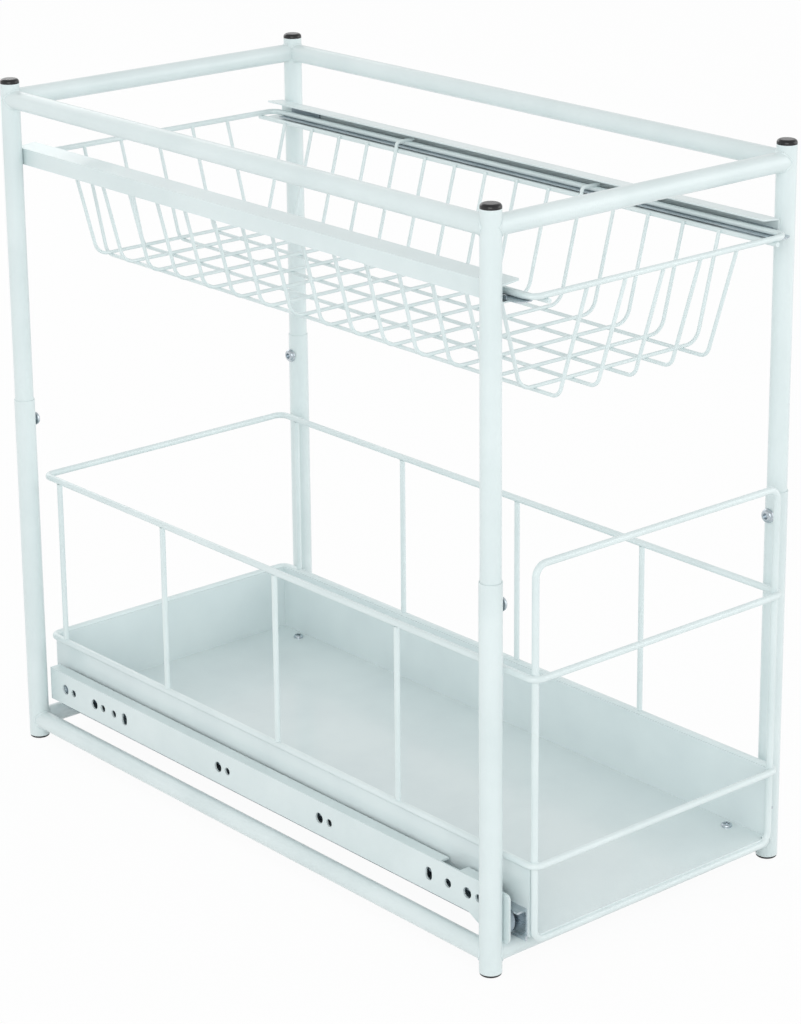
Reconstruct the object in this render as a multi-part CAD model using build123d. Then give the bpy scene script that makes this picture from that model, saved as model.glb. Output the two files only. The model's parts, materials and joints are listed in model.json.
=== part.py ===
from build123d import *
import os

# Pull out cabinet basket: a telescopic tube frame that carries a sheet steel drawer with a wire
# gallery on roller runners below, and a hanging wire basket on C rails above.
# Millimetres. +X is right as seen from the front, +Y runs to the back, +Z is up.
# The middle of the four posts is worked in first, and place() moves every piece so that the
# origin is the middle of the footprint on the floor.

# ---- frame ----
post_spacing_x = 219.0        # post axis to post axis, across
post_spacing_y = 432.0        # post axis to post axis, front to back
foot_height = 1.5             # rubber foot under each post
foot_inset = 0.3              # foot edge inside the outside of the post
lower_post_od = 12.8
lower_post_wall = 0.5
lower_post_top = 227.0        # height of the step in each post
telescope_gap = 0.08          # radial running gap between the upper and the lower tubes
upper_post_wall = 0.8
upper_post_top = 427.0
post_insertion = 112.0        # how far an upper tube reaches into its lower tube
side_tube_od = 11.4           # stays under the upper post, whose round cuts its ends
side_tube_wall = 0.9
lower_tube_z = 12.2           # axis height of the bottom tubes
upper_tube_drop = 9.5         # axis of the top tubes below the tops of the posts

# ---- end caps, feet and clamp screws ----
cap_height = 2.8
plug_depth = 12.0
plug_gap = 0.05
clamp_drop = 14.0             # clamp screw axis below the step
clamp_shank_d = 4.0
clamp_head_d = 8.4
clamp_head_height = 2.6
clamp_socket_d = 3.6
clamp_tip_gap = 0.15          # tip to the upper tube, taken up when the screw is tightened

# ---- cabinet runner, fixed to the posts, one per side ----
runner_sheet = 1.2
runner_front_overhang = 7.7   # runner nose ahead of the front post axis
runner_back_inset = 5.7       # runner end short of the back post axis
runner_top = 47.0
runner_height = 21.4
runner_flange = 6.1
runner_nose_length = 17.0     # straight part of the deep nose
runner_flare_length = 16.0    # sloping part behind the nose
runner_lip_gap = 6.0          # the lower flange starts this far behind the flare
runner_lip_setback = 14.0     # the upper flange starts this far behind the nose
runner_notch_start = 41.0     # gap in the upper flange, behind the nose
runner_notch_length = 16.0
runner_corner = 3.0
hole_pitch = 32.0             # cabinet makers' hole system
hole_first = 33.8             # first system hole behind the runner nose
hole_big_d = 6.5
hole_middle_d = 5.4
hole_small_d = 4.8
hole_small_step = 9.0         # small holes sit this far ahead of the big ones
hole_slot_height = 8.0
hole_slot_width = 5.4

# ---- rollers ----
roller_width = 5.1
front_roller_r = 8.4
rear_roller_r = 8.2
roller_bore_gap = 0.06        # radial gap on the rivet
roller_side_gap = 0.5
roller_ride_gap = 0.1         # running gap to the track
rivet_r = 2.5
rivet_head_r = 4.2
rivet_head_t = 0.7
rivet_collar = 0.2            # shoulder that keeps a roller off the sheet behind it
front_roller_back = 3.0       # front roller axis behind the front post axis
rear_roller_inset = 12.0      # rear roller axis ahead of the drawer runner's end

# ---- drawer ----
wire_d = 4.0                  # rings and front loop
upright_d = 3.4
weld_bite = 0.15              # how far a weld sinks one piece into the next
wire_weld_bite = 0.8          # the same where two thick wires cross
drawer_front_overhang = 16.0  # plane of the front loop ahead of the front post axis
drawer_back_overhang = 2.0    # axis of the rings behind the back post axis
gallery_gap = 14.0            # ring axis inside the post axis
ring_corner = 6.0
lower_ring_z = 65.0
upper_ring_z = 173.0
loop_top_z = 236.0
loop_bottom_z = 19.5
loop_corner = 7.0
upright_back_inset = 16.0     # last upright ahead of the ring's back wire
upright_count = 4
tray_sheet = 1.0
drawer_runner_sheet = 1.2
drawer_runner_front_inset = 4.0
drawer_runner_back_inset = 7.0
drawer_runner_clearance = 1.0  # drawer runner above the bottom tubes
riding_z = 36.6               # underside of the flange on the front roller
drawer_flange_gap = 1.0       # outer edge of the riding flange to the cabinet runner's web
drawer_seat_width = 15.0      # flange under the tray floor
track_end_gap = 5.0           # riding flange stops this far short of the rear roller
tray_screw_inset_x = 8.0
tray_screw_inset_y = 26.0
screw_head_d = 6.4
screw_head_height = 1.8
screw_shank_d = 3.4
screw_reach = 3.4

# ---- upper rails and basket ----
rail_sheet = 0.9
rail_width = 13.0
rail_height = 10.0
rail_rise = 1.2               # the top flange climbs this much towards the basket
rail_drop = 40.8              # rail top below the tops of the posts
rail_front_overhang = 1.5
rail_back_overhang = 4.0
slide_sheet = 0.8
slide_web_gap = 1.4           # slide web to rail web
slide_floor_gap = 0.9         # slide flange above the rail's lower flange
slide_web_height = 2.6
slide_web_setback = 10.5      # slide web behind the slide's nose
slide_flange = 10.4
slide_front_inset = 2.0       # slide ends inside the rim's front and back wires
slide_back_inset = 10.0
glide_length = 28.0
glide_run_gap = 0.08
glide_setback = 4.0
rim_d = 3.4
rim_inset = 14.5              # rim axis inside the post axis
rim_front_overhang = 15.0
rim_back_overhang = 2.0
rim_corner = 7.0
side_wire_d = 2.8
side_wire_inset = 10.0        # side wire axis inside the rim axis
side_wire_stub = 2.5          # side wire ends beyond the rim's front and back wires
basket_wire_d = 2.2
basket_depth = 65.5           # rim axis down to the lengthwise wires
basket_floor_inset = 28.5     # side bend of the cross wires inside the rim axis
basket_front_inset = 21.0     # how far the front and back lean in towards the floor
length_wire_pitch = 27.9
cross_wire_pitch = 27.4
length_bend = 7.0
cross_bend = 10.0
hanger_wire_index = 3         # cross wires this far from the middle one end in hooks
hook_bend = 2.6
hook_reach = 2.0              # hook end beyond the rim axis

# ---- worked-out places ----
post_x = post_spacing_x / 2
post_y = post_spacing_y / 2
lower_post_id = lower_post_od - 2 * lower_post_wall
upper_post_od = lower_post_id - 2 * telescope_gap
lower_inner_x = post_x - lower_post_od / 2
upper_inner_x = post_x - upper_post_od / 2
upper_tube_z = upper_post_top - upper_tube_drop
lower_tube_top = lower_tube_z + side_tube_od / 2

drawer_front_y = -post_y - drawer_front_overhang
drawer_back_y = post_y + drawer_back_overhang
drawer_runner_front_y = drawer_front_y + drawer_runner_front_inset
drawer_runner_back_y = drawer_back_y - drawer_runner_back_inset
rear_roller_y = drawer_runner_back_y - rear_roller_inset
ring_half_x = post_x - gallery_gap
ring_front_y = drawer_front_y - (wire_d - wire_weld_bite)
loop_half_x = ring_half_x - (wire_d - wire_weld_bite)
upright_pitch = (drawer_back_y - upright_back_inset - drawer_front_y) / upright_count
front_y = ring_front_y - wire_d / 2
back_y = post_y + lower_post_od / 2
shift_y = -(front_y + back_y) / 2

runner_web_x = lower_inner_x - runner_sheet      # inner face of the cabinet runner's web
runner_bottom = runner_top - runner_height
runner_foot_z = lower_tube_top - weld_bite       # the deep nose stands on the front cross tube
runner_front_y = -post_y - runner_front_overhang
runner_back_y = post_y - runner_back_inset
track_z = runner_bottom + runner_sheet           # running face inside the cabinet runner
roller_out_x = runner_web_x - roller_side_gap - rivet_collar
roller_in_x = roller_out_x - roller_width
front_roller_y = -post_y + front_roller_back
tray_half_x = ring_half_x - wire_d / 2 + weld_bite
tray_screw_x = tray_half_x - tray_screw_inset_x
tray_floor_z = loop_bottom_z + wire_d / 2        # underside of the tray floor
drawer_runner_bottom = lower_tube_top + drawer_runner_clearance
drawer_web_out_x = tray_half_x + drawer_runner_sheet
front_roller_z = riding_z - roller_ride_gap - front_roller_r
rear_roller_z = track_z + roller_ride_gap + rear_roller_r

rail_out_x = upper_inner_x
rail_in_x = rail_out_x - rail_width
rail_top = upper_post_top - rail_drop
rail_bottom = rail_top - rail_height
rail_floor_z = rail_bottom + rail_sheet
rail_ceiling_z = rail_top - rail_sheet
rail_front_y = -post_y - rail_front_overhang
rail_back_y = post_y + rail_back_overhang
rim_half_x = post_x - rim_inset
rim_front_y = -post_y - rim_front_overhang
rim_back_y = post_y + rim_back_overhang
slide_out_x = rail_out_x - rail_sheet - slide_web_gap
slide_bottom = rail_floor_z + slide_floor_gap
slide_front_y = rim_front_y + slide_front_inset
slide_back_y = rim_back_y - slide_back_inset
rim_z = slide_bottom + slide_sheet + rim_d / 2
side_wire_half_x = rim_half_x - side_wire_inset
side_wire_z = rim_z - (rim_d + side_wire_d) / 2 + weld_bite
basket_floor_z = rim_z - basket_depth            # axis of the lengthwise wires on the floor
basket_floor_half_x = rim_half_x - basket_floor_inset
cross_floor_z = basket_floor_z + basket_wire_d - weld_bite
leg_top_x = side_wire_half_x - (side_wire_d + basket_wire_d) / 2 + weld_bite
leg_lean = (leg_top_x - basket_floor_half_x) / (side_wire_z - cross_floor_z)
hook_z = rim_z + (rim_d + basket_wire_d) / 2 - weld_bite / 2


def place(shape):
    return shape.moved(Location((0, shift_y, 0)))


def mirrored(shape):
    return mirror(shape, about=Plane.YZ)


def rod(radius, start, end):
    """A round bar from one point to another."""
    path = Line(start, end)
    return sweep(Plane(origin=path @ 0, z_dir=path % 0) * Circle(radius), path=path)


def bent_wire(diameter, points, bend):
    """Round wire along straight runs joined by tangent bends."""
    path = FilletPolyline(*points, radius=bend)
    return sweep(Plane(origin=path @ 0, z_dir=path % 0) * Circle(diameter / 2), path=path)


def tube(outer_d, wall, start, end):
    bar = rod(outer_d / 2, start, end)
    return bar - rod(outer_d / 2 - wall, start, end)


def box_between(low, high):
    size = [b - a for a, b in zip(low, high)]
    middle = [(a + b) / 2 for a, b in zip(low, high)]
    return Pos(*middle) * Box(*size)


def ring(diameter, half_x, y_front, y_back, z, bend):
    """A closed rectangular wire ring, made as two bent halves welded on the centre line."""
    half = bent_wire(
        diameter,
        [(0, y_front, z), (half_x, y_front, z), (half_x, y_back, z), (0, y_back, z)],
        bend,
    )
    return half + mirrored(half)


def corners():
    """Name, sideways sign and depth sign of each post."""
    for depth_name, sy in (("front", -1), ("back", 1)):
        for side_name, sx in (("left", -1), ("right", 1)):
            yield depth_name + "_" + side_name, sx, sy


# ---- lower frame ----
def lower_post(sx, sy):
    x, y = sx * post_x, sy * post_y
    body = tube(lower_post_od, lower_post_wall, (x, y, foot_height), (x, y, lower_post_top))
    clamp_z = lower_post_top - clamp_drop
    return body - rod(clamp_shank_d / 2, (x, y, clamp_z), (x - sx * lower_post_od, y, clamp_z))


def foot_plug(sx, sy):
    x, y = sx * post_x, sy * post_y
    flange = Pos(x, y, foot_height / 2) * Cylinder(lower_post_od / 2 - foot_inset, foot_height)
    flange = chamfer(flange.edges().group_by(Axis.Z)[0], foot_height * 0.3)
    stem_r = lower_post_id / 2 - plug_gap
    return flange + Pos(x, y, foot_height + plug_depth / 2) * Cylinder(stem_r, plug_depth)


def clamp_screw(sx, sy):
    z = lower_post_top - clamp_drop
    y = sy * post_y
    face = post_x - lower_post_od / 2
    tip = post_x - upper_post_od / 2 - clamp_tip_gap
    shank = rod(clamp_shank_d / 2, (face - 0.3, y, z), (tip, y, z))
    head = Pos(face - clamp_head_height / 2 - 0.1, y, z) * Rot(0, -90, 0) * Cylinder(
        clamp_head_d / 2, clamp_head_height
    )
    rim = head.edges().filter_by(GeomType.CIRCLE).group_by(Axis.X)[0]
    head = fillet(rim, clamp_head_height * 0.8)
    socket = rod(
        clamp_socket_d / 2,
        (face - clamp_head_height - 1, y, z),
        (face - clamp_head_height * 0.5, y, z),
    )
    screw = head - socket + shank
    return screw if sx > 0 else mirrored(screw)


def frame_tube(start, end):
    """A frame tube with both ends cut to the saddle of the posts that it is welded to."""
    body = tube(side_tube_od, side_tube_wall, start, end)
    post_od = lower_post_od if start[2] < lower_post_top else upper_post_od
    for x, y, _ in (start, end):
        body -= Pos(x, y, start[2]) * Cylinder(post_od / 2, side_tube_od * 2)
    return body


def side_tube(sx, z):
    return frame_tube((sx * post_x, -post_y, z), (sx * post_x, post_y, z))


def cross_tube(sy, z):
    return frame_tube((-post_x, sy * post_y, z), (post_x, sy * post_y, z))


def runner_holes():
    """Holes of the cabinet runner's web: place along Y, width and height."""
    def row_y(row):
        return runner_front_y + hole_first + row * hole_pitch

    big = (hole_big_d, hole_big_d)
    small = (hole_small_d, hole_small_d)
    slot = (hole_slot_width, hole_slot_height)
    for row in (0, 4, 7, 11, 12):
        yield row_y(row), big
        yield row_y(row) - hole_small_step, small
    for row in (1, 10):
        yield row_y(row), slot
    yield row_y(0.5), (hole_middle_d, hole_middle_d)
    yield row_y(11) - 2.3 * hole_small_step, small


def cabinet_runner():
    """Right-hand C runner with its deep punched nose."""
    flare_start = runner_front_y + runner_nose_length
    flare_end = flare_start + runner_flare_length
    outline = Polyline(
        (flare_end, runner_bottom),
        (runner_back_y, runner_bottom),
        (runner_back_y, runner_top),
        (runner_front_y, runner_top),
        (runner_front_y, runner_foot_z),
        (flare_start, runner_foot_z),
        close=True,
    )
    face = Plane(origin=(runner_web_x, 0, 0), x_dir=(0, 1, 0), z_dir=(1, 0, 0))
    web = extrude(face * make_face(outline), runner_sheet)
    nose = web.edges().filter_by(Axis.X).group_by(Axis.Y)[0]
    web = fillet(nose, runner_corner)
    in_x = runner_web_x - runner_flange
    notch_start = runner_front_y + runner_notch_start
    lip_ends = (
        (runner_front_y + runner_lip_setback, notch_start),
        (notch_start + runner_notch_length, runner_back_y),
    )
    body = web + box_between(
        (in_x, flare_end + runner_lip_gap, runner_bottom), (runner_web_x, runner_back_y, track_z)
    )
    for start, end in lip_ends:
        low, high = runner_top - runner_sheet, runner_top
        body += box_between((in_x, start, low), (runner_web_x, end, high))
    middle_x = runner_web_x + runner_sheet / 2
    hole_z = runner_bottom + runner_height / 2
    cutter_depth = 3 * runner_sheet
    for y, (width, height) in runner_holes():
        if height > width:
            hole = extrude(SlotOverall(height, width, rotation=90), cutter_depth / 2, both=True)
        else:
            hole = extrude(Circle(width / 2), cutter_depth / 2, both=True)
        upright = Plane(origin=(middle_x, y, hole_z), x_dir=(0, 1, 0), z_dir=(1, 0, 0))
        body -= upright * hole
    axle = (runner_web_x - 1, front_roller_y, front_roller_z)
    body -= rod(rivet_r, axle, (runner_web_x + runner_sheet + 1, front_roller_y, front_roller_z))
    return body


def roller(y, z, radius):
    """Right-hand nylon roller with a rounded rim and a bore for its rivet."""
    wheel = Rot(0, 90, 0) * Cylinder(radius, roller_width)
    wheel = fillet(wheel.edges().filter_by(GeomType.CIRCLE), 0.8)
    wheel -= Rot(0, 90, 0) * Cylinder(rivet_r + roller_bore_gap, 2 * roller_width)
    for side in (-1, 1):
        recess = Rot(0, 90, 0) * Cylinder(radius * 0.72, 0.8)
        recess -= Rot(0, 90, 0) * Cylinder(radius * 0.5, 0.8)
        wheel -= Pos(side * roller_width / 2, 0, 0) * recess
    return Pos((roller_in_x + roller_out_x) / 2, y, z) * wheel


def roller_rivet(y, z, sheet_from, sheet_to, collar_from, collar_to, head_from, head_to):
    """Stepped rivet: shank through the sheet and the roller, a collar, and a head."""
    shank = rod(rivet_r, (min(sheet_from, head_from), y, z), (max(sheet_to, head_to), y, z))
    collar = rod(rivet_head_r, (collar_from, y, z), (collar_to, y, z))
    head = rod(rivet_head_r, (head_from, y, z), (head_to, y, z))
    return shank + collar + head


def front_rivet():
    head_in = roller_in_x - roller_bore_gap - rivet_head_t
    return roller_rivet(
        front_roller_y, front_roller_z,
        runner_web_x, runner_web_x + runner_sheet,
        runner_web_x - rivet_collar - roller_side_gap + roller_bore_gap, runner_web_x,
        head_in, head_in + rivet_head_t,
    )


def rear_rivet():
    head_out = roller_out_x + roller_bore_gap
    return roller_rivet(
        rear_roller_y, rear_roller_z,
        tray_half_x, drawer_web_out_x,
        drawer_web_out_x, roller_in_x - roller_bore_gap,
        head_out, head_out + rivet_head_t - rivet_collar,
    )


# ---- upper frame ----
def upper_post(sx, sy):
    x, y = sx * post_x, sy * post_y
    bottom = lower_post_top - post_insertion
    return tube(upper_post_od, upper_post_wall, (x, y, bottom), (x, y, upper_post_top))


def top_cap(sx, sy):
    """Black push-in cap with a domed top."""
    x, y = sx * post_x, sy * post_y
    dome = Pos(x, y, upper_post_top + cap_height / 2) * Cylinder(upper_post_od / 2, cap_height)
    dome = fillet(dome.edges().group_by(Axis.Z)[-1], cap_height * 0.7)
    stem_r = upper_post_od / 2 - upper_post_wall - plug_gap
    return dome + Pos(x, y, upper_post_top - plug_depth / 2) * Cylinder(stem_r, plug_depth)


def upper_rail():
    """Right-hand C rail, open towards the basket, with a top flange that climbs inwards."""
    lip_z = rail_top + rail_rise
    web_in_x = rail_out_x - rail_sheet
    outline = Polyline(
        (rail_in_x, rail_bottom),
        (rail_out_x, rail_bottom),
        (rail_out_x, rail_top),
        (rail_in_x, lip_z),
        (rail_in_x, lip_z - rail_sheet),
        (web_in_x, rail_ceiling_z),
        (web_in_x, rail_floor_z),
        (rail_in_x, rail_floor_z),
        close=True,
    )
    face = Plane(origin=(0, rail_front_y, 0), x_dir=(1, 0, 0), z_dir=(0, -1, 0))
    body = extrude(face * make_face(outline), rail_front_y - rail_back_y)
    ends = body.edges().filter_by(Axis.Z).group_by(Axis.X)[0]
    return fillet(ends, rail_sheet * 1.6)


def rail_glide():
    """Nylon pad on the floor and web of the rail near its front end; the slide runs on it."""
    top = slide_bottom - glide_run_gap
    side = slide_out_x + glide_run_gap
    front = rail_front_y + glide_setback
    out_x = rail_out_x - rail_sheet
    floor = box_between(
        (rail_in_x + 2 * rail_sheet, front, rail_floor_z), (out_x, front + glide_length, top)
    )
    wall = box_between(
        (side, front, rail_floor_z),
        (out_x, front + glide_length, slide_bottom + slide_web_height),
    )
    return floor + wall


# ---- basket ----
def slide_member():
    """Right-hand zinc angle that carries the rim and runs in the rail."""
    web = box_between(
        (slide_out_x - slide_sheet, slide_front_y + slide_web_setback, slide_bottom),
        (slide_out_x, slide_back_y, slide_bottom + slide_web_height),
    )
    flange = box_between(
        (slide_out_x - slide_flange, slide_front_y, slide_bottom),
        (slide_out_x, slide_back_y, slide_bottom + slide_sheet),
    )
    nose = flange.edges().filter_by(Axis.Z).group_by(Axis.Y)[0]
    return web + fillet(nose, slide_flange * 0.3)


def slide_glide():
    """Nylon block on the back end of the slide that bears on the rail's floor, web and ceiling."""
    return box_between(
        (slide_out_x, slide_back_y - glide_length, rail_floor_z + glide_run_gap),
        (rail_out_x - rail_sheet - glide_run_gap, slide_back_y, rail_ceiling_z - glide_run_gap),
    )


def basket_rim():
    return ring(rim_d, rim_half_x, rim_front_y, rim_back_y, rim_z, rim_corner)


def side_wire():
    """Right-hand wire under the rim that the cross wires hang from."""
    x, z = side_wire_half_x, side_wire_z
    start, end = rim_front_y - side_wire_stub, rim_back_y + side_wire_stub
    return rod(side_wire_d / 2, (x, start, z), (x, end, z))


def cross_wire(y):
    """A U-shaped wire whose legs lean out and end just past the side wires they are welded to."""
    top_z = side_wire_z + basket_wire_d / 2
    top_x = leg_top_x + leg_lean * basket_wire_d / 2
    return bent_wire(
        basket_wire_d,
        [
            (-top_x, y, top_z),
            (-basket_floor_half_x, y, cross_floor_z),
            (basket_floor_half_x, y, cross_floor_z),
            (top_x, y, top_z),
        ],
        cross_bend,
    )


def hanger_wire(y):
    """A cross wire whose ends rise past the side wire and hook over the rim."""
    knee_x = leg_top_x + basket_wire_d / 2
    half = bent_wire(
        basket_wire_d,
        [
            (0, y, cross_floor_z),
            (basket_floor_half_x, y, cross_floor_z),
            (leg_top_x, y, side_wire_z),
            (knee_x, y, hook_z),
            (rim_half_x + hook_reach, y, hook_z),
        ],
        [cross_bend, hook_bend, hook_bend],
    )
    return half + mirrored(half)


def cross_wires():
    """Index from the middle wire and place along Y of each wire that the floor has room for."""
    each_way = int((rim_back_y - basket_front_inset) / cross_wire_pitch)
    for index in range(-each_way, each_way + 1):
        yield index, index * cross_wire_pitch


def length_wire(x):
    front, back = rim_front_y, rim_back_y
    return bent_wire(
        basket_wire_d,
        [
            (x, front, rim_z),
            (x, front + basket_front_inset, basket_floor_z),
            (x, back - basket_front_inset, basket_floor_z),
            (x, back, rim_z),
        ],
        length_bend,
    )


# ---- drawer ----
def tray():
    """Folded sheet tray, open at the front, with its floor lapped over the loop's bottom wire."""
    top_z = lower_ring_z
    back = drawer_back_y - wire_d / 2 + weld_bite
    front = drawer_front_y + wire_d / 2 + weld_bite
    outside = box_between((-tray_half_x, front, tray_floor_z), (tray_half_x, back, top_z))
    inner_x = tray_half_x - tray_sheet
    floor_z = tray_floor_z + tray_sheet
    hollow = box_between((-inner_x, front - 1, floor_z), (inner_x, back - tray_sheet, top_z + 1))
    lap_half_x = loop_half_x - wire_d
    lap = box_between((-lap_half_x, drawer_front_y, tray_floor_z), (lap_half_x, front, floor_z))
    body = outside - hollow + lap
    for sx in (-1, 1):
        for y in tray_screw_ys():
            body -= Pos(sx * tray_screw_x, y, tray_floor_z) * Cylinder(screw_shank_d / 2, screw_reach)
    return body


def tray_screw_ys():
    return (drawer_front_y + tray_screw_inset_y, drawer_back_y - tray_screw_inset_y)


def front_loop():
    half = bent_wire(
        wire_d,
        [
            (0, drawer_front_y, loop_bottom_z),
            (loop_half_x, drawer_front_y, loop_bottom_z),
            (loop_half_x, drawer_front_y, loop_top_z),
            (0, drawer_front_y, loop_top_z),
        ],
        loop_corner,
    )
    return half + mirrored(half)


def gallery_ring(z):
    return ring(wire_d, ring_half_x, ring_front_y, drawer_back_y, z, ring_corner)


def upright(sx, index):
    x = sx * ring_half_x
    y = drawer_front_y + index * upright_pitch
    bite = wire_d / 2 - weld_bite
    return rod(upright_d / 2, (x, y, lower_ring_z + bite), (x, y, upper_ring_z - bite))


def drawer_runner():
    """Right-hand zinc drawer member: web on the tray wall, seat under the floor, riding flange."""
    front, back = drawer_runner_front_y, drawer_runner_back_y
    web = box_between(
        (tray_half_x, front, drawer_runner_bottom),
        (drawer_web_out_x, back, riding_z + drawer_runner_sheet),
    )
    track_out = runner_web_x - drawer_flange_gap
    track_end = rear_roller_y - rear_roller_r - track_end_gap
    track = box_between(
        (drawer_web_out_x, front, riding_z), (track_out, track_end, riding_z + drawer_runner_sheet)
    )
    seat = box_between(
        (tray_half_x - drawer_seat_width, front + track_end_gap, tray_floor_z - drawer_runner_sheet),
        (tray_half_x, back, tray_floor_z),
    )
    body = web + track + seat
    for y in tray_screw_ys():
        body -= Pos(tray_screw_x, y, tray_floor_z) * Cylinder(screw_shank_d / 2, 4 * drawer_runner_sheet)
    hole = rod(rivet_r, (tray_half_x - 1, rear_roller_y, rear_roller_z),
               (drawer_web_out_x + 1, rear_roller_y, rear_roller_z))
    return body - hole


def tray_screw(sx, y):
    x = sx * tray_screw_x
    seat = tray_floor_z + tray_sheet
    head = Pos(x, y, seat + screw_head_height / 2) * Cylinder(screw_head_d / 2, screw_head_height)
    head = fillet(head.edges().group_by(Axis.Z)[-1], screw_head_height * 0.7)
    return head + Pos(x, y, seat - screw_reach / 2) * Cylinder(screw_shank_d / 2, screw_reach)


def both_sides(name, right):
    return {name + "_right": right, name + "_left": mirrored(right)}


def group(solids):
    """Separate solids of one node: equal fasteners and wires stay apart."""
    return Compound(children=list(solids))


def lower_frame_parts():
    nodes = {"lower_post_" + name: lower_post(sx, sy) for name, sx, sy in corners()}
    for side, sx in (("left", -1), ("right", 1)):
        nodes["lower_side_tube_" + side] = side_tube(sx, lower_tube_z)
    for side, sy in (("front", -1), ("back", 1)):
        nodes["lower_cross_tube_" + side] = cross_tube(sy, lower_tube_z)
    nodes["foot_plugs"] = group(foot_plug(sx, sy) for _, sx, sy in corners())
    nodes["clamp_screws"] = group(clamp_screw(sx, sy) for _, sx, sy in corners())
    nodes.update(both_sides("cabinet_runner", cabinet_runner()))
    rivet = front_rivet()
    nodes["front_roller_rivets"] = group([rivet, mirrored(rivet)])
    return nodes


def upper_frame_parts():
    nodes = {"upper_post_" + name: upper_post(sx, sy) for name, sx, sy in corners()}
    for side, sx in (("left", -1), ("right", 1)):
        nodes["upper_side_tube_" + side] = side_tube(sx, upper_tube_z)
    for side, sy in (("front", -1), ("back", 1)):
        nodes["upper_cross_tube_" + side] = cross_tube(sy, upper_tube_z)
    nodes["top_caps"] = group(top_cap(sx, sy) for _, sx, sy in corners())
    nodes.update(both_sides("upper_rail", upper_rail()))
    nodes.update(both_sides("rail_glide", rail_glide()))
    return nodes


def basket_parts():
    nodes = {"basket_rim": basket_rim()}
    wire = side_wire()
    nodes["basket_side_wires"] = group([wire, mirrored(wire)])
    plain, hooked = [], []
    for index, y in cross_wires():
        if abs(index) == hanger_wire_index:
            hooked.append(hanger_wire(y))
        else:
            plain.append(cross_wire(y))
    nodes["basket_cross_wires"] = group(plain)
    nodes["basket_hanger_wires"] = group(hooked)
    each_way = int(basket_floor_half_x / length_wire_pitch)
    nodes["basket_length_wires"] = group(
        length_wire(index * length_wire_pitch) for index in range(-each_way, each_way + 1)
    )
    nodes.update(both_sides("basket_slide", slide_member()))
    nodes.update(both_sides("slide_glide", slide_glide()))
    return nodes


def drawer_parts():
    nodes = {
        "tray": tray(),
        "lower_ring": gallery_ring(lower_ring_z),
        "upper_ring": gallery_ring(upper_ring_z),
        "front_loop": front_loop(),
    }
    nodes["side_uprights"] = group(
        upright(sx, index) for sx in (-1, 1) for index in range(1, upright_count + 1)
    )
    nodes.update(both_sides("drawer_runner", drawer_runner()))
    rivet = rear_rivet()
    nodes["rear_roller_rivets"] = group([rivet, mirrored(rivet)])
    nodes["tray_screws"] = group(tray_screw(sx, y) for sx in (-1, 1) for y in tray_screw_ys())
    return nodes


def roller_parts():
    nodes = both_sides("front_roller", roller(front_roller_y, front_roller_z, front_roller_r))
    nodes.update(both_sides("rear_roller", roller(rear_roller_y, rear_roller_z, rear_roller_r)))
    return nodes


def main():
    os.makedirs("parts", exist_ok=True)
    makers = (lower_frame_parts, upper_frame_parts, basket_parts, drawer_parts, roller_parts)
    for make in makers:
        for name, shape in make().items():
            export_step(place(shape), "parts/" + name + ".step")
    print("depth shift", round(shift_y, 3))


if __name__ == "__main__":
    main()
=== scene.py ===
# %% [markdown]
# # Dressing a pull out cabinet basket
# The real thing is a tube frame with a steel tray and a wire basket, nearly all of it under one
# coat of cool white powder paint. The engineering model already holds every tube, wire and screw
# at its real size, so this file adds what the eye notices next: the paint, the bright zinc, the
# weld beads and nuggets, the screw recesses, and the soft studio light. It starts by loading that
# model as a fixed frame and keeps its box, to compare with the box of the dressed object at the end.

# %% Load the frame
import bpy
import json
from math import cos, pi, radians, sin, sqrt
from mathutils import Matrix, Vector


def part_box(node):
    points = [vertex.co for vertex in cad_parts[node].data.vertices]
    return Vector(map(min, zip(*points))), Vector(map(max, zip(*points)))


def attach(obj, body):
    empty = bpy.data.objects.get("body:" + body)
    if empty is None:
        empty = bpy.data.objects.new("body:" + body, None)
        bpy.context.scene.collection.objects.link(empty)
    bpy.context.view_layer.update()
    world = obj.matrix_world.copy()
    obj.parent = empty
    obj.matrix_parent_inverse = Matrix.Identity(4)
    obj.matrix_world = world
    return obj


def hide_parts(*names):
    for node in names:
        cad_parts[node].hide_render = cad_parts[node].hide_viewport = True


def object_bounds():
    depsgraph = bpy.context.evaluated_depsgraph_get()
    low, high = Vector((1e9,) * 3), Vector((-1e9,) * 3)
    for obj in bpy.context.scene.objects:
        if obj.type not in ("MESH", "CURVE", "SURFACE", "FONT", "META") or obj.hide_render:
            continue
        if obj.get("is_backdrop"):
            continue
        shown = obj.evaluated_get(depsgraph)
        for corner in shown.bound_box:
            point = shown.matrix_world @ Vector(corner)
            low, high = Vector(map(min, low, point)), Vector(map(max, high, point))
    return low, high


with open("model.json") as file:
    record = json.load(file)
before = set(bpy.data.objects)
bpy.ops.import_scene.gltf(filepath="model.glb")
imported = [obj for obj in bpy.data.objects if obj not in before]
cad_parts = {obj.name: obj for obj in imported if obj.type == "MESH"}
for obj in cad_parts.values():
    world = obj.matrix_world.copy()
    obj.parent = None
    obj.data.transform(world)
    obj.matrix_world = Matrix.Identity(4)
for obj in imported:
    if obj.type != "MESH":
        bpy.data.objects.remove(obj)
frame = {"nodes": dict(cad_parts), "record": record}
cad_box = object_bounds()
nodes = frame["nodes"]
print("nodes:", len(nodes), "box:", [round(v, 4) for corner in cad_box for v in corner])

# %% [markdown]
# ## The camera
# The photograph was taken from the front left with a long lens, a little above the basket. Its
# upright tubes are parallel, which a studio does by shifting the lens. Here the camera is tilted
# instead and has only a small shift, so that every other view of the object stays in the picture.

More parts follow.
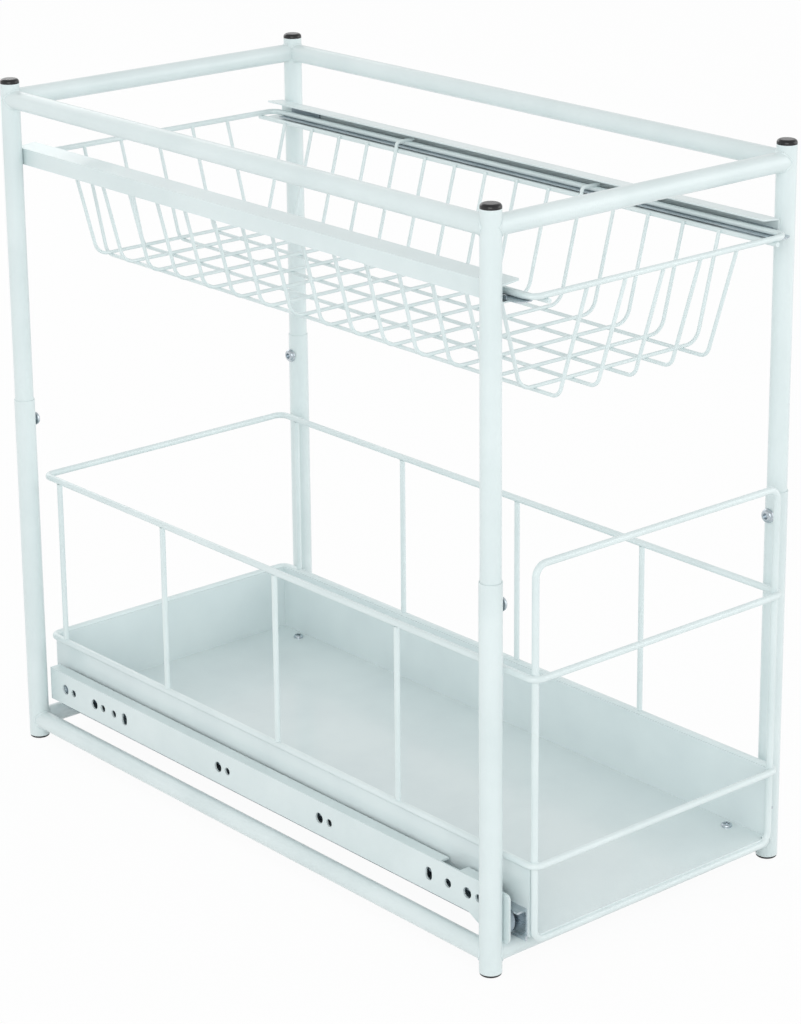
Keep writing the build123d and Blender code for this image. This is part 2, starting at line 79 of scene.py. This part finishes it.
# %% Camera
CAMERA_PLACE = (-1.1069, -1.3044, 0.7888)
CAMERA_YAW = radians(40.91)
CAMERA_PITCH = radians(17.13)
CAMERA_ROLL = radians(-0.4)
CAMERA_FOCAL_PX = 3034.9
CAMERA_SHIFT = (-0.019, -0.12)
IMAGE_LONG_SIDE = 1024
SENSOR_WIDTH = 36.0


def add_camera():
    data = bpy.data.cameras.new("camera")
    data.sensor_width = SENSOR_WIDTH
    data.lens = CAMERA_FOCAL_PX / IMAGE_LONG_SIDE * SENSOR_WIDTH
    data.shift_x, data.shift_y = CAMERA_SHIFT
    camera = bpy.data.objects.new("camera", data)
    bpy.context.scene.collection.objects.link(camera)
    turn = Matrix.Rotation(-CAMERA_YAW, 4, "Z") @ Matrix.Rotation(pi / 2 - CAMERA_PITCH, 4, "X")
    turn = turn @ Matrix.Rotation(CAMERA_ROLL, 4, "Z")
    camera.matrix_world = Matrix.Translation(CAMERA_PLACE) @ turn
    bpy.context.scene.camera = camera
    return camera


camera = add_camera()
print("lens:", round(camera.data.lens, 1), "mm")

# %% [markdown]
# ## Paint, zinc, nylon and plastic
# Powder paint is baked on as a powder, so its surface has a fine orange peel and a soft gloss
# under a clear film. Zinc plate is bright, bluish and cloudy, with fine streaks along the strip.
# The nylon of the rollers and glides is grey and dull, and the caps are moulded black plastic.
# Each is a small node tree on object coordinates, so that it never slides.

# %% Node helpers
def new_material(name):
    material = bpy.data.materials.new(name)
    material.use_nodes = True
    tree = material.node_tree
    shader = tree.nodes["Principled BSDF"]
    coords = tree.nodes.new("ShaderNodeTexCoord")
    return material, tree, shader, coords.outputs["Object"]


def noise(tree, vector, scale, detail=2.0, roughness=0.5):
    node = tree.nodes.new("ShaderNodeTexNoise")
    node.inputs["Scale"].default_value = scale
    node.inputs["Detail"].default_value = detail
    node.inputs["Roughness"].default_value = roughness
    tree.links.new(vector, node.inputs["Vector"])
    return node.outputs["Fac"]


def ramp(tree, value, stops):
    """Map a value to colours; stops are (position, colour)."""
    node = tree.nodes.new("ShaderNodeValToRGB")
    elements = node.color_ramp.elements
    elements[0].position, elements[0].color = stops[0][0], (*stops[0][1], 1)
    elements[1].position, elements[1].color = stops[-1][0], (*stops[-1][1], 1)
    for position, colour in stops[1:-1]:
        element = elements.new(position)
        element.color = (*colour, 1)
    tree.links.new(value, node.inputs["Fac"])
    return node.outputs["Color"]


def spread(tree, value, low, high):
    """Stretch a value of 0 to 1 over low to high."""
    node = tree.nodes.new("ShaderNodeMapRange")
    node.inputs["To Min"].default_value = low
    node.inputs["To Max"].default_value = high
    tree.links.new(value, node.inputs["Value"])
    return node.outputs["Result"]


def bump(tree, shader, height, distance, strength=1.0):
    node = tree.nodes.new("ShaderNodeBump")
    node.inputs["Distance"].default_value = distance
    node.inputs["Strength"].default_value = strength
    tree.links.new(height, node.inputs["Height"])
    tree.links.new(node.outputs["Normal"], shader.inputs["Normal"])


# %% Powder paint
PAINT_LIGHT = (0.75, 0.84, 0.845)
PAINT_DEEP = (0.70, 0.795, 0.80)
ENAMEL_LIGHT = (0.74, 0.83, 0.835)
ENAMEL_DEEP = (0.70, 0.79, 0.80)
CLEAR_FILM = 0.35
CLEAR_FILM_ROUGHNESS = 0.12
ORANGE_PEEL = 900.0


def powder_paint(name, light, deep, rough, peel):
    material, tree, shader, where = new_material(name)
    cloud = noise(tree, where, 22.0, 3.0)
    tree.links.new(ramp(tree, cloud, [(0.35, deep), (0.65, light)]), shader.inputs["Base Color"])
    tree.links.new(spread(tree, noise(tree, where, 60.0), rough - 0.05, rough + 0.06),
                   shader.inputs["Roughness"])
    shader.inputs["Coat Weight"].default_value = CLEAR_FILM
    shader.inputs["Coat Roughness"].default_value = CLEAR_FILM_ROUGHNESS
    bump(tree, shader, noise(tree, where, ORANGE_PEEL, 1.0), peel, 0.35)
    return material


white_paint = powder_paint("white_powder_paint", PAINT_LIGHT, PAINT_DEEP, 0.34, 0.00025)
tray_enamel = powder_paint("tray_enamel", ENAMEL_LIGHT, ENAMEL_DEEP, 0.18, 0.00012)
print("paints:", white_paint.name, tray_enamel.name)


# %% Zinc, nylon and black plastic
ZINC_DARK = (0.40, 0.46, 0.50)
ZINC_MIDDLE = (0.56, 0.61, 0.65)
ZINC_BRIGHT = (0.68, 0.72, 0.74)
ALONG_STRIP = (1.0, 0.06, 1.0)
NYLON_LIGHT = (0.42, 0.50, 0.55)
NYLON_DEEP = (0.35, 0.43, 0.48)
BLACK_LIGHT = (0.012, 0.012, 0.013)
BLACK_DEEP = (0.006, 0.006, 0.007)


def zinc_plate(name):
    material, tree, shader, where = new_material(name)
    shader.inputs["Metallic"].default_value = 1.0
    stretch = tree.nodes.new("ShaderNodeMapping")
    stretch.inputs["Scale"].default_value = ALONG_STRIP
    tree.links.new(where, stretch.inputs["Vector"])
    streak = noise(tree, stretch.outputs["Vector"], 420.0, 4.0, 0.6)
    colour = ramp(tree, streak, [(0.25, ZINC_DARK), (0.55, ZINC_MIDDLE), (0.8, ZINC_BRIGHT)])
    tree.links.new(colour, shader.inputs["Base Color"])
    tree.links.new(spread(tree, streak, 0.18, 0.38), shader.inputs["Roughness"])
    bump(tree, shader, streak, 0.00008, 0.4)
    return material


def moulded(name, light, deep, rough, grain):
    material, tree, shader, where = new_material(name)
    cloud = noise(tree, where, 120.0, 3.0)
    tree.links.new(ramp(tree, cloud, [(0.3, deep), (0.7, light)]), shader.inputs["Base Color"])
    tree.links.new(spread(tree, cloud, rough - 0.04, rough + 0.06), shader.inputs["Roughness"])
    bump(tree, shader, noise(tree, where, 1800.0, 2.0), grain, 0.4)
    return material


zinc = zinc_plate("bright_zinc_plate")
nylon = moulded("grey_nylon", NYLON_LIGHT, NYLON_DEEP, 0.42, 0.0001)
black_plastic = moulded("black_moulded_plastic", BLACK_LIGHT, BLACK_DEEP, 0.20, 0.00006)
print("zinc, nylon and plastic:", zinc.name, nylon.name, black_plastic.name)

# %% [markdown]
# ## Putting the finishes on
# The model says which material slot each piece belongs to, and each slot gets one finish.

# %% Finish every carried-over piece
FINISH = {
    "white_paint": white_paint,
    "white_tray": tray_enamel,
    "zinc": zinc,
    "black_plastic": black_plastic,
    "grey_nylon": nylon,
}
slot_of = {part["node"]: part["material_slot"] for part in frame["record"]["subparts"]}
for name, node in nodes.items():
    node.data.materials.clear()
    node.data.materials.append(FINISH[slot_of[name]])
print("finished:", len(slot_of), "pieces")

# %% [markdown]
# ## Weld beads round the tube ends
# Every cross and side tube is cut to a saddle and welded round its end to the post, and the paint
# runs over the bead. A plain ring would leave the post at the sides, so a torus is added round the
# tube and its rings are pushed along the tube one by one, until each lies on the round post. Every
# second ring goes a little further, which gives the ripples of a hand weld.

# %% Sizes of the bead and the tube
MM = 0.001
BEAD_RADIUS = 0.75 * MM
BEAD_RIPPLE = 0.12 * MM
BEAD_RINGS = 40
BEAD_SIDES = 8
SPOKE_TOLERANCE = 1e-6


def middle(name):
    low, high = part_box(name)
    return (Vector(low) + Vector(high)) / 2


def width(name, axis=0):
    low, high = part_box(name)
    return high[axis] - low[axis]


def deselect():
    bpy.ops.object.select_all(action="DESELECT")


tube_radius = width("lower_cross_tube_front", 2) / 2
print("tube radius, mm:", round(tube_radius / MM, 2))


# %% One bead, with the post along Z and the tube along Y
def pick_vertices(piece, wanted):
    """Select the vertices for which wanted(place) is true, in edit mode."""
    bpy.ops.object.mode_set(mode="OBJECT")
    for vertex in piece.data.vertices:
        vertex.select = wanted(vertex.co)
    for edge in piece.data.edges:
        edge.select = all(piece.data.vertices[i].select for i in edge.vertices)
    for face in piece.data.polygons:
        face.select = all(piece.data.vertices[i].select for i in face.vertices)
    bpy.ops.object.mode_set(mode="EDIT")


def weld_bead(name, post_radius):
    deselect()
    bpy.ops.mesh.primitive_torus_add(
        major_radius=tube_radius, minor_radius=BEAD_RADIUS, major_segments=BEAD_RINGS,
        minor_segments=BEAD_SIDES, rotation=(pi / 2, 0, 0))
    bead = bpy.context.object
    bead.name = name
    bpy.ops.object.transform_apply(location=True, rotation=True, scale=True)
    bpy.ops.object.mode_set(mode="EDIT")
    bpy.ops.mesh.select_mode(type="VERT")
    for ring in range(BEAD_RINGS):
        angle = 2 * pi * ring / BEAD_RINGS
        spoke = Vector((cos(angle), 0, sin(angle)))
        pick_vertices(bead, lambda place: (place.x * spoke.x + place.z * spoke.z) > 0
                      and abs(place.x * spoke.z - place.z * spoke.x) < SPOKE_TOLERANCE)
        reach = sqrt(post_radius ** 2 - (tube_radius * spoke.x) ** 2) + BEAD_RIPPLE * (ring % 2)
        bpy.ops.transform.translate(value=(0, reach, 0))
    bpy.ops.object.mode_set(mode="OBJECT")
    bpy.ops.object.shade_smooth()
    return bead


lower_bead = weld_bead("lower_bead", width("lower_post_front_left") / 2)
upper_bead = weld_bead("upper_bead", width("upper_post_front_left") / 2)
print("one bead:", len(lower_bead.data.vertices), "vertices")

# %% [markdown]
# The bead is copied to the sixteen tube ends. Each copy gets its own mesh, turned about the post
# and moved to it, and the copies of one body are joined so that they ride together.


# %% Copies at every tube end
def copy_at(pattern, turn, place):
    """A copy with its own mesh, turned about Z by turn and moved to place."""
    piece = pattern.copy()
    piece.data = pattern.data.copy()
    bpy.context.scene.collection.objects.link(piece)
    piece.data.transform(Matrix.Translation(place) @ Matrix.Rotation(turn, 4, "Z"))
    return piece


def join(name, copies, body, slot_name):
    deselect()
    for piece in copies:
        piece.select_set(True)
    bpy.context.view_layer.objects.active = copies[0]
    bpy.ops.object.join()
    piece = bpy.context.object
    piece.name = name
    piece.data.materials.clear()
    piece.data.materials.append(FINISH[slot_name])
    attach(piece, body)
    return piece


CORNERS = [(depth, side) for depth in ("front", "back") for side in ("left", "right")]


def weld_level(level, bead):
    copies = []
    height = middle(level + "_cross_tube_front").z
    for depth, side in CORNERS:
        post = middle("_".join((level, "post", depth, side)))
        place = Vector((post.x, post.y, height))
        copies.append(copy_at(bead, 0 if depth == "front" else pi, place))
        copies.append(copy_at(bead, -pi / 2 if side == "left" else pi / 2, place))
    bpy.data.objects.remove(bead)
    return join(level + "_weld_beads", copies, level + "_frame", "white_paint")


for level, bead in (("lower", lower_bead), ("upper", upper_bead)):
    piece = weld_level(level, bead)
    print(piece.name, len(piece.data.polygons), "faces")

# %% [markdown]
# ## Weld nuggets where the wires cross
# Wires like the front loop and the two rings are usually resistance welded. The current melts them
# together where they touch and pushes a small uneven collar of steel out. A ball is pressed flat
# in the plane of the joint and its points are moved a little at random, so that no two are alike.

# %% Nuggets on the front loop
NUGGET_REACH = 2.6 * MM
NUGGET_DEPTH = 1.2 * MM
NUGGET_UNEVEN = 0.12 * MM
NUGGET_SMOOTHING = 0.4


def weld_nugget(place, seed):
    deselect()
    bpy.ops.mesh.primitive_ico_sphere_add(subdivisions=3, radius=NUGGET_REACH, location=place)
    nugget = bpy.context.object
    bpy.ops.object.mode_set(mode="EDIT")
    bpy.ops.mesh.select_all(action="SELECT")
    bpy.ops.transform.resize(value=(1, NUGGET_DEPTH / NUGGET_REACH, 1), center_override=place)
    bpy.ops.transform.vertex_random(offset=NUGGET_UNEVEN, seed=seed)
    bpy.ops.mesh.vertices_smooth(factor=NUGGET_SMOOTHING)
    bpy.ops.object.mode_set(mode="OBJECT")
    bpy.ops.object.transform_apply(location=True, rotation=True, scale=True)
    bpy.ops.object.shade_smooth()
    return nugget


loop_low, loop_high = (Vector(corner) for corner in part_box("front_loop"))
wire_radius = (loop_high.y - loop_low.y) / 2
nuggets = []
for ring_name in ("lower_ring", "upper_ring"):
    ring_low = Vector(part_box(ring_name)[0])
    joint_y = (ring_low.y + 2 * wire_radius + loop_low.y) / 2
    for leg_x in (loop_low.x + wire_radius, loop_high.x - wire_radius):
        nuggets.append(weld_nugget((leg_x, joint_y, middle(ring_name).z), len(nuggets)))
nuggets = join("loop_weld_nuggets", nuggets, "drawer", "white_paint")
print(nuggets.name, len(nuggets.data.polygons), "faces")

# %% [markdown]
# ## The tray's screws
# Four zinc plated pan head screws hold the tray to its runners. The engineering model has their
# plain domes, so these stand in for them with a real cross recess. The head is a low cylinder with
# a bevelled shoulder, and two crossed bars are cut out of it.

# %% One screw
HEAD_BEVEL = 1.1 * MM
RECESS_LENGTH = 3.6 * MM
RECESS_WIDTH = 0.9 * MM
RECESS_DEPTH = 1.2 * MM
SHANK_RADIUS = 1.7 * MM
HEAD_RADIUS = 3.2 * MM
TRAY_SHEET = 1.0 * MM
END_SHARE = 0.1
HEAD_SIDES = 40
SHOULDER_STEPS = 5
SHARP_ANGLE = radians(35)

screw_low, screw_high = (Vector(corner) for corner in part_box("tray_screws"))
floor_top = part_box("tray")[0][2] + TRAY_SHEET
head_height = screw_high.z - floor_top


def pan_head():
    deselect()
    bpy.ops.mesh.primitive_cylinder_add(
        vertices=HEAD_SIDES, radius=HEAD_RADIUS, depth=head_height,
        location=(0, 0, head_height / 2))
    head = bpy.context.object
    bpy.ops.object.transform_apply(location=True, rotation=True, scale=True)
    bpy.ops.object.mode_set(mode="EDIT")
    pick_vertices(head, lambda place: place.z > head_height * (1 - END_SHARE))
    bpy.ops.mesh.bevel(offset=HEAD_BEVEL, segments=SHOULDER_STEPS, profile=0.5, affect="EDGES")
    pick_vertices(head, lambda place: place.z < head_height * END_SHARE)
    bpy.ops.mesh.select_mode(type="FACE")
    bpy.ops.mesh.inset(thickness=HEAD_RADIUS - SHANK_RADIUS)
    bpy.ops.mesh.extrude_region_move(
        TRANSFORM_OT_translate={"value": (0, 0, screw_low.z - floor_top)})
    bpy.ops.mesh.select_mode(type="VERT")
    bpy.ops.object.mode_set(mode="OBJECT")
    return head


def cut_recess(head):
    for turn in (0, pi / 2):
        deselect()
        bpy.ops.mesh.primitive_cube_add(size=1, location=(0, 0, head_height), rotation=(0, 0, turn))
        bar = bpy.context.object
        bar.scale = (RECESS_LENGTH, RECESS_WIDTH, 2 * RECESS_DEPTH)
        bpy.ops.object.transform_apply(location=True, rotation=True, scale=True)
        deselect()
        head.select_set(True)
        bpy.context.view_layer.objects.active = head
        cut = head.modifiers.new("recess", "BOOLEAN")
        cut.operation, cut.object, cut.solver = "DIFFERENCE", bar, "EXACT"
        bpy.ops.object.modifier_apply(modifier=cut.name)
        bpy.data.objects.remove(bar)
    bpy.ops.object.shade_smooth_by_angle(angle=SHARP_ANGLE)


screw = pan_head()
cut_recess(screw)
print("screw:", len(screw.data.polygons), "faces")

# %% Four screws, each turned as it happened to stop
STOPS = (0.3, 1.1, 0.7, 1.4)
screws = []
for x in (screw_low.x + HEAD_RADIUS, screw_high.x - HEAD_RADIUS):
    for y in (screw_low.y + HEAD_RADIUS, screw_high.y - HEAD_RADIUS):
        screws.append(copy_at(screw, STOPS[len(screws)], (x, y, floor_top)))
bpy.data.objects.remove(screw)
screws = join("tray_screw_heads", screws, "drawer", "zinc")
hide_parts("tray_screws")
print(screws.name, [round(v, 4) for v in screws.dimensions])

# %% [markdown]
# ## The studio
# The ground is a plain white sweep. It glows white only where the camera or a glossy reflection
# sees it, so that the glow spreads no soft light over the object, and a small share of plain pale
# floor is left for a faint shadow.

# %% Floor
FLOOR_SIZE = 60.0
FLOOR_SHADOW = 0.05


def seen_by(tree, first, second):
    """1 for the two kinds of ray that are named, else 0."""
    path = tree.nodes.new("ShaderNodeLightPath")
    seen = tree.nodes.new("ShaderNodeMath")
    seen.operation = "MAXIMUM"
    tree.links.new(path.outputs[first], seen.inputs[0])
    tree.links.new(path.outputs[second], seen.inputs[1])
    return seen.outputs[0]


def studio_white(name):
    material = bpy.data.materials.new(name)
    material.use_nodes = True
    tree = material.node_tree
    tree.nodes.remove(tree.nodes["Principled BSDF"])
    out = tree.nodes["Material Output"]
    pale = tree.nodes.new("ShaderNodeBsdfDiffuse")
    pale.inputs["Color"].default_value = (0.86, 0.87, 0.87, 1)
    glow = tree.nodes.new("ShaderNodeEmission")
    glow.inputs["Color"].default_value = (1, 1, 1, 1)
    glow.inputs["Strength"].default_value = 1.0
    share = tree.nodes.new("ShaderNodeMath")
    share.operation = "MULTIPLY"
    share.inputs[1].default_value = 1 - FLOOR_SHADOW
    tree.links.new(seen_by(tree, "Is Camera Ray", "Is Glossy Ray"), share.inputs[0])
    mix = tree.nodes.new("ShaderNodeMixShader")
    tree.links.new(share.outputs[0], mix.inputs["Fac"])
    tree.links.new(pale.outputs[0], mix.inputs[1])
    tree.links.new(glow.outputs[0], mix.inputs[2])
    tree.links.new(mix.outputs[0], out.inputs["Surface"])
    return material


deselect()
bpy.ops.mesh.primitive_plane_add(size=FLOOR_SIZE, location=(0, 0, 0))
floor = bpy.context.object
floor.name = "studio_floor"
floor.data.materials.append(studio_white("studio_white"))
floor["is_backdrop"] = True
print(floor.name, FLOOR_SIZE, "m wide")

# %% [markdown]
# Three large soft boxes stand round the object: the strongest in front on the left, a weaker one in
# front on the right to soften its shadows, and the weakest behind.

# %% Soft boxes
AIM = (0, 0, 0.2)


def soft_box(name, place, size, power):
    data = bpy.data.lights.new(name, "AREA")
    data.shape = "RECTANGLE"
    data.size, data.size_y = size
    data.energy = power
    lamp = bpy.data.objects.new(name, data)
    lamp.location = place
    lamp.rotation_euler = (Vector(AIM) - Vector(place)).to_track_quat("-Z", "Y").to_euler()
    bpy.context.scene.collection.objects.link(lamp)
    return lamp


soft_box("key", (-2.0, -1.9, 1.2), (1.8, 1.8), 21)
soft_box("fill", (2.2, -1.6, 0.9), (1.8, 1.8), 13)
soft_box("back", (0.3, 2.4, 1.4), (2.0, 1.2), 10)

# %% [markdown]
# The room is brighter round the walls than overhead, as a studio with hung backdrops is. The
# darker ceiling shades the top of a level tube a little, which tells that it is round.

# %% World
CEILING = 0.62
WALLS = 1.0
world = bpy.data.worlds.new("studio")
bpy.context.scene.world = world
world.use_nodes = True
tree = world.node_tree
sky = tree.nodes["Background"]
height = tree.nodes.new("ShaderNodeSeparateXYZ")
tree.links.new(tree.nodes.new("ShaderNodeTexCoord").outputs["Generated"], height.inputs[0])
room = tree.nodes.new("ShaderNodeMapRange")
room.inputs["To Min"].default_value = WALLS
room.inputs["To Max"].default_value = CEILING
room.interpolation_type = "SMOOTHSTEP"
tree.links.new(height.outputs["Z"], room.inputs["Value"])
level = tree.nodes.new("ShaderNodeMix")
level.inputs["B"].default_value = 1.0
tree.links.new(seen_by(tree, "Is Camera Ray", "Is Transmission Ray"), level.inputs["Factor"])
tree.links.new(room.outputs["Result"], level.inputs["A"])
tree.links.new(level.outputs["Result"], sky.inputs["Strength"])
sky.inputs["Color"].default_value = (1, 1, 1, 1)
bpy.context.scene.view_settings.view_transform = "Standard"
print("room light, overhead and at the walls:", CEILING, WALLS)

# %% [markdown]
# ## Last step
# The weld beads stand a little proud of the posts. To show how little that adds to the size of the
# object, the box of the dressed model is held against the box of the engineering model, and the most
# that it has grown is printed.

# %% Sizes and finish
dressed_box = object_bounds()
growth = [abs(dressed - plain) / MM for corners in zip(dressed_box, cad_box)
          for dressed, plain in zip(*corners)]
print("most that the box has grown:", round(max(growth), 2), "mm")
